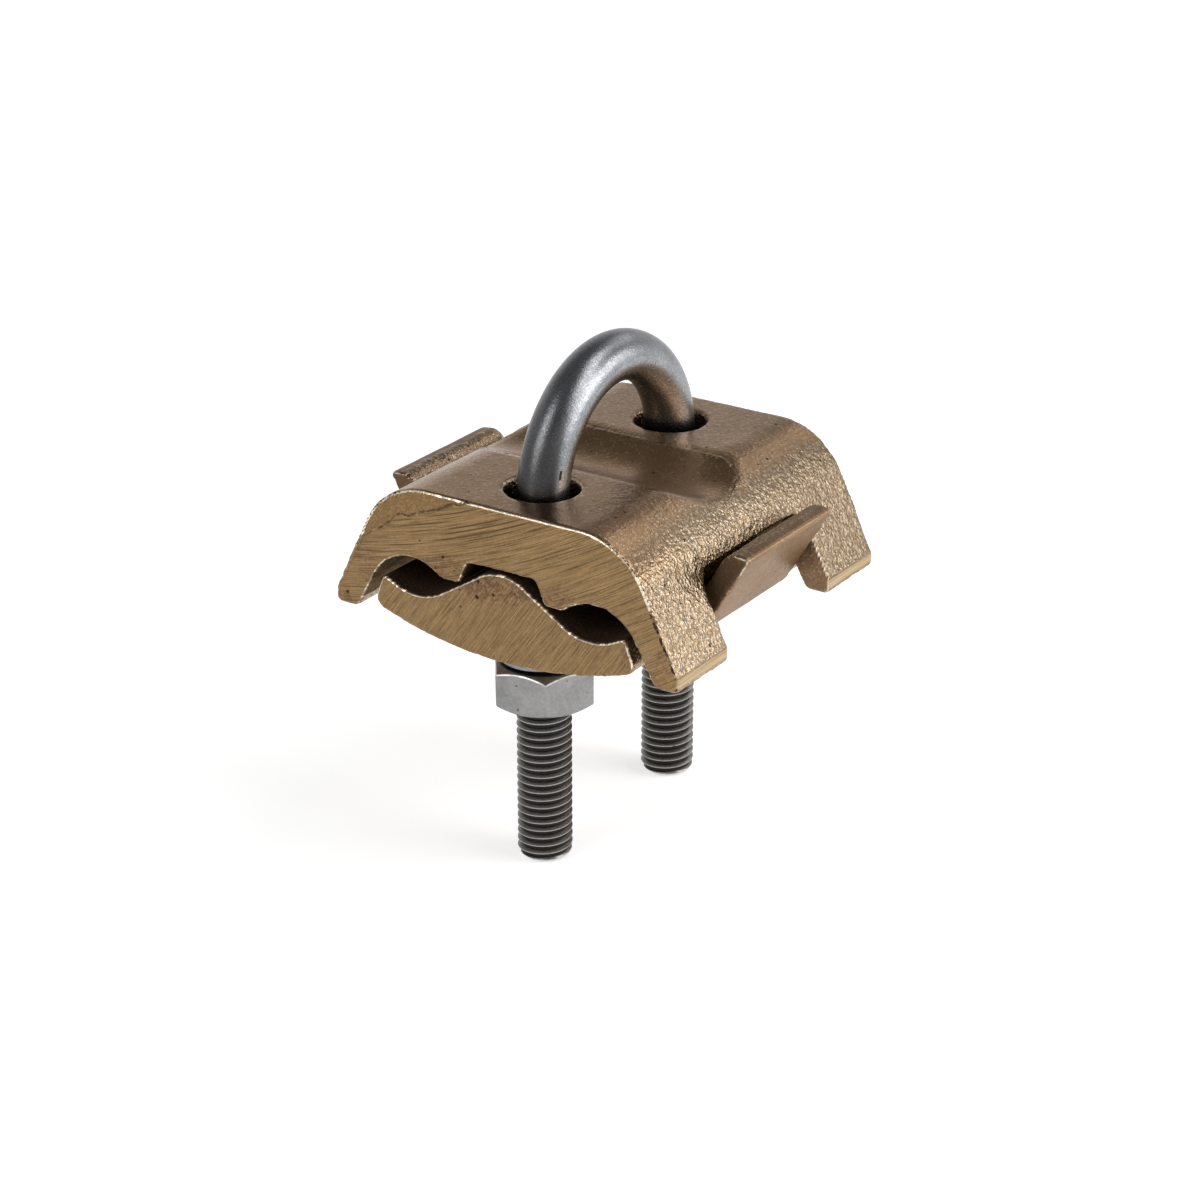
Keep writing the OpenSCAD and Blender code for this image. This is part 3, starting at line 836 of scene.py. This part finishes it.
def makeUBolt():
    s = uBolt
    points, faces, marks = [], [], []
    n = s["around"]
    half = s["pitch"] / 2
    around = [2 * math.pi * i / n for i in range(n)]
    # plain shank and bow
    shank, bow = s["shankSteps"], s["bowSteps"]
    rise = s["bowZ"] - s["threadTop"]
    path = [(-half, s["threadTop"] + rise * k / shank, 0.0) for k in range(shank)]
    for k in range(bow + 1):
        a = math.pi * k / bow
        path.append((-half * math.cos(a), s["bowZ"] + half * math.sin(a), a))
    path += [(half, s["bowZ"] - rise * k / shank, math.pi) for k in range(1, shank + 1)]
    for yc, zc, a in path:
        for t in around:
            out = s["bar"] * math.cos(t)
            points.append((s["bar"] * math.sin(t), yc - out * math.cos(a), zc + out * math.sin(a)))
            marks.append((0, 0, 0, footShade(yc, zc, t)))
    for k in range(len(path) - 1):
        for i in range(n):
            a, b = k * n + i, k * n + (i + 1) % n
            faces.append((a, b, b + n, a + n))
    # rolled thread, one strip wound along each leg
    m = len(s["threadSteps"])
    turns = math.ceil((s["threadTop"] - s["endZ"]) / s["lead"]) + 2
    for side in (-1, 1):
        first = len(points)
        for j in range(turns * n + 1):
            turn = j / n
            t = 2 * math.pi * turn
            for u in s["threadSteps"]:
                r, zc, depth, fade = threadPoint(u, turn)
                points.append((r * math.cos(t), side * half + r * math.sin(t), zc))
                marks.append(((1 - ramp(depth, 0.0, 0.55)) * fade, ramp(depth, 0.85, 0.95), fade, 0))
        for j in range(turns * n):
            for k in range(m - 1):
                a = first + j * m + k
                faces.append((a, a + m, a + m + 1, a + 1))
        # leg end
        centre = len(points)
        points.append((0, side * half, s["endZ"]))
        r = s["crest"] - s["chamfer"]
        points += [(r * math.cos(t), side * half + r * math.sin(t), s["endZ"]) for t in around]
        marks += [(0, 0.3, 1, 0)] * (n + 1)
        faces += [(centre, centre + 1 + (i + 1) % n, centre + 1 + i) for i in range(n)]
    mesh = meshFrom("uBolt", np.array(points) * mm, faces)
    paint(mesh, "finish", *np.array(marks).T)
    cleanUp(mesh, 4e-6)
    shadeSmooth(mesh, 50)
    piece = addPiece("uBolt", mesh)
    finishPiece(piece, "u_bolt", "u_bolt", plainSteel)
    print("u-bolt", len(mesh.polygons), "faces")


# nuts and spring washers

hexNut = {"flats": 17.0, "height": 8.0, "top": -28.85, "bore": 5.05, "sink": 0.55, "turn": 6.4,
          "face": 0.95, "slope": 30, "around": 144, "bevel": 0.22, "sharp": 25}
nutZinc = makeZinc("nutZinc", zinc["nut"], zinc["nutDull"], hexNut)


def makeNut(name, node, side):
    s = hexNut
    n = s["around"]
    apothem = s["flats"] / 2
    face = apothem * s["face"]
    h = s["height"] / 2
    mid = s["top"] - h
    points, faces = [], []
    for i in range(n):
        t = 2 * math.pi * i / n
        # angle from the middle of the nearest flat
        off = (math.degrees(t) - 30) % 60
        off = math.radians(off - 60 if off > 30 else off)
        wall = apothem / math.cos(off)
        drop = (wall - face) * math.tan(math.radians(s["slope"]))
        t += math.radians(s["turn"])
        ring = [(s["bore"], h - s["sink"]), (s["bore"] + s["sink"], h), (face, h), (wall, h - drop), (wall, 0),
                (wall, drop - h), (face, -h), (s["bore"] + s["sink"], -h), (s["bore"], s["sink"] - h)]
        points += [(r * math.cos(t), side * uBolt["pitch"] / 2 + r * math.sin(t), mid + level) for r, level in ring]
    m = len(ring)
    for i in range(n):
        a0, b0 = i * m, (i + 1) % n * m
        for k in range(m):
            faces.append((a0 + k, a0 + (k + 1) % m, b0 + (k + 1) % m, b0 + k))
    mesh = meshFrom(name, np.array(points) * mm, faces)
    cleanUp(mesh)
    shadeSmooth(mesh, s["sharp"])
    piece = addPiece(name, mesh)
    soft = piece.modifiers.new("softEdges", "BEVEL")
    soft.width = s["bevel"] * mm
    soft.segments = 2
    soft.limit_method = "ANGLE"
    soft.angle_limit = math.radians(s["sharp"])
    even = piece.modifiers.new("evenShade", "WEIGHTED_NORMAL")
    even.keep_sharp = False
    finishPiece(piece, node, node, nutZinc)


springWasher = {"outer": 8.0, "bore": 5.25, "thick": 2.5, "rise": 1.1, "split": 8, "round": 0.3, "steps": 96}
washerZinc = makeZinc("washerZinc", zinc["washer"], zinc["washerDull"])
print("steel and zinc made")


def makeWasher(name, node, side):
    s = springWasher
    q = s["round"]
    section = []
    for cr, ch, a0 in ((s["bore"] + q, q, 180), (s["outer"] - q, q, 270), (s["outer"] - q, s["thick"] - q, 0),
                       (s["bore"] + q, s["thick"] - q, 90)):
        for k in range(4):
            a = math.radians(a0 + 30 * k)
            section.append((cr + q * math.cos(a), ch + q * math.sin(a)))
    points, faces = [], []
    m = len(section)
    base = hexNut["top"]
    for i in range(s["steps"] + 1):
        f = i / s["steps"]
        t = math.radians(90 + s["split"] + f * (360 - s["split"]))
        for r, h in section:
            points.append((r * math.cos(t), side * uBolt["pitch"] / 2 + r * math.sin(t), base + f * s["rise"] + h))
    for i in range(s["steps"]):
        for k in range(m):
            a, b = i * m + k, i * m + (k + 1) % m
            faces.append((a, b, b + m, a + m))
    faces.append(tuple(range(m)))
    faces.append(tuple(range(s["steps"] * m + m - 1, s["steps"] * m - 1, -1)))
    mesh = meshFrom(name, np.array(points) * mm, faces)
    cleanUp(mesh)
    shadeSmooth(mesh, 45)
    piece = addPiece(name, mesh)
    finishPiece(piece, "lower_saddle", node, washerZinc)


makeUpperSaddle()
makeLowerSaddle()
makeUBolt()
makeNut("frontNut", "front_nut", -1)
makeNut("rearNut", "rear_nut", 1)
makeWasher("frontWasher", "front_washer", -1)
makeWasher("rearWasher", "rear_washer", 1)
print("pieces made")


# studio

studio = {
    "floorRadius": 6.0, "floorDrop": 0.0002, "floorTone": 0.75, "floorLift": 0.60, "skyFill": 0.28,
    # further out, where the lamps no longer reach, the floor is lifted to white
    "farFrom": 0.3, "farTo": 1.0, "farLift": 0.4,
    # brightness of the surround by height, from the floor line to straight up
    "sweep": [(0.0, 0.9), (0.1, 0.74), (0.2, 0.64), (0.32, 0.57), (0.46, 0.47), (0.6, 0.23), (0.75, 0.14), (1.0, 0.12)],
    "lampAim": (0, 0, -0.015),
    "lamps": [
        {"name": "rightBox", "at": (0.66, 0.12, 0.42), "size": (0.40, 0.84), "watts": 3.0},
        {"name": "backTop", "at": (0.26, 0.28, 0.68), "size": (0.30, 0.30), "watts": 0.8},
        {"name": "backBox", "at": (0.07, 0.66, 0.50), "size": (0.40, 0.26), "watts": 0.32},
        {"name": "legBox", "at": (0.30, 0.20, 0.10), "size": (0.22, 0.16), "watts": 0.36},
        {"name": "leftBox", "at": (-0.20, -0.54, 0.36), "size": (0.26, 0.56), "watts": 1.5},
    ],
}


def mixShaders(tree, factor, a, b):
    made = addNode(tree, "ShaderNodeMixShader")
    for socket, value in zip(made.inputs, (factor, a, b)):
        tree.links.new(value, socket)
    return made.outputs[0]


def placeAimed(name, data, at, aim):
    holder = bpy.data.objects.new(name, data)
    bpy.context.scene.collection.objects.link(holder)
    holder.location = at
    holder.rotation_euler = (Vector(aim) - Vector(at)).to_track_quat("-Z", "Y").to_euler()
    return holder


# the camera sees white, reflections see the sweep, and the rest is an even fill
def makeWorld():
    s = studio
    world = bpy.data.worlds.new("studio")
    bpy.context.scene.world = world
    world.use_nodes = True
    tree = world.node_tree
    tree.nodes.clear()
    out = addNode(tree, "ShaderNodeOutputWorld")
    level = addNode(tree, "ShaderNodeValToRGB")
    tree.links.new(splitAxes(tree, addNode(tree, "ShaderNodeTexCoord").outputs["Generated"])["Z"], level.inputs[0])
    stops = level.color_ramp.elements
    while len(stops) < len(s["sweep"]):
        stops.new(0.5)
    for stop, (at, tone) in zip(stops, s["sweep"]):
        stop.position = at
        stop.color = (tone, tone, tone, 1)
    sweep = addNode(tree, "ShaderNodeBackground", {"Strength": 1.0})
    tree.links.new(level.outputs[0], sweep.inputs["Color"])
    fill = addNode(tree, "ShaderNodeBackground", {"Strength": s["skyFill"]})
    white = addNode(tree, "ShaderNodeBackground", {"Color": (1, 1, 1, 1), "Strength": 1.0})
    rays = addNode(tree, "ShaderNodeLightPath").outputs
    mirrored = calc(tree, "MAXIMUM", rays["Is Glossy Ray"], rays["Is Transmission Ray"])
    around = mixShaders(tree, mirrored, fill.outputs[0], sweep.outputs[0])
    tree.links.new(mixShaders(tree, rays["Is Camera Ray"], around, white.outputs[0]), out.inputs["Surface"])


def makeFloor():
    s = studio
    bm = bmesh.new()
    bmesh.ops.create_circle(bm, cap_ends=True, radius=s["floorRadius"], segments=96)
    mesh = bpy.data.meshes.new("floor")
    bm.to_mesh(mesh)
    bm.free()
    floor = addPiece("floor", mesh)
    floor.location.z = cadBox[0][2] - s["floorDrop"]
    paper = bpy.data.materials.new("floorPaper")
    paper.use_nodes = True
    tree = paper.node_tree
    tree.nodes.clear()
    out = addNode(tree, "ShaderNodeOutputMaterial")
    matt = addNode(tree, "ShaderNodeBsdfDiffuse", {"Color": (s["floorTone"],) * 3 + (1,)})
    rays = addNode(tree, "ShaderNodeLightPath").outputs
    away = addNode(tree, "ShaderNodeVectorMath", operation="LENGTH")
    tree.links.new(addNode(tree, "ShaderNodeTexCoord").outputs["Object"], away.inputs[0])
    far = spread(tree, away.outputs["Value"], s["farFrom"], s["farTo"], 0.0, s["farLift"])
    faint = addNode(tree, "ShaderNodeEmission")
    tree.links.new(scaled(tree, far, rays["Is Camera Ray"], s["floorLift"]), faint.inputs["Strength"])
    lifted = addNode(tree, "ShaderNodeAddShader")
    tree.links.new(matt.outputs[0], lifted.inputs[0])
    tree.links.new(faint.outputs[0], lifted.inputs[1])
    seen = calc(tree, "MAXIMUM", rays["Is Camera Ray"], rays["Is Glossy Ray"])
    seen = calc(tree, "MAXIMUM", seen, rays["Is Transmission Ray"])
    tree.links.new(mixShaders(tree, seen, matt.outputs[0], lifted.outputs[0]), out.inputs["Surface"])
    floor.data.materials.append(paper)


def makeLamps():
    for lamp in studio["lamps"]:
        light = bpy.data.lights.new(lamp["name"], "AREA")
        light.shape = "RECTANGLE"
        light.size, light.size_y = lamp["size"]
        light.energy = lamp["watts"]
        placeAimed(lamp["name"], light, lamp["at"], studio["lampAim"])


photoCamera = {"place": (275.88, -419.08, 193.39), "aim": (-1.717, 0.0, -25.811), "lens": 91.665, "sensor": 36,
               "nearest": 0.01, "furthest": 50}


def setCamera():
    s = photoCamera
    data = bpy.data.cameras.new("photoCamera")
    data.lens = s["lens"]
    data.sensor_width = s["sensor"]
    data.clip_start = s["nearest"]
    data.clip_end = s["furthest"]
    bpy.context.scene.camera = placeAimed("photoCamera", data, Vector(s["place"]) * mm, Vector(s["aim"]) * mm)


makeWorld()
makeFloor()
makeLamps()
setCamera()
bpy.context.scene.view_settings.view_transform = "Standard"
print("studio set")
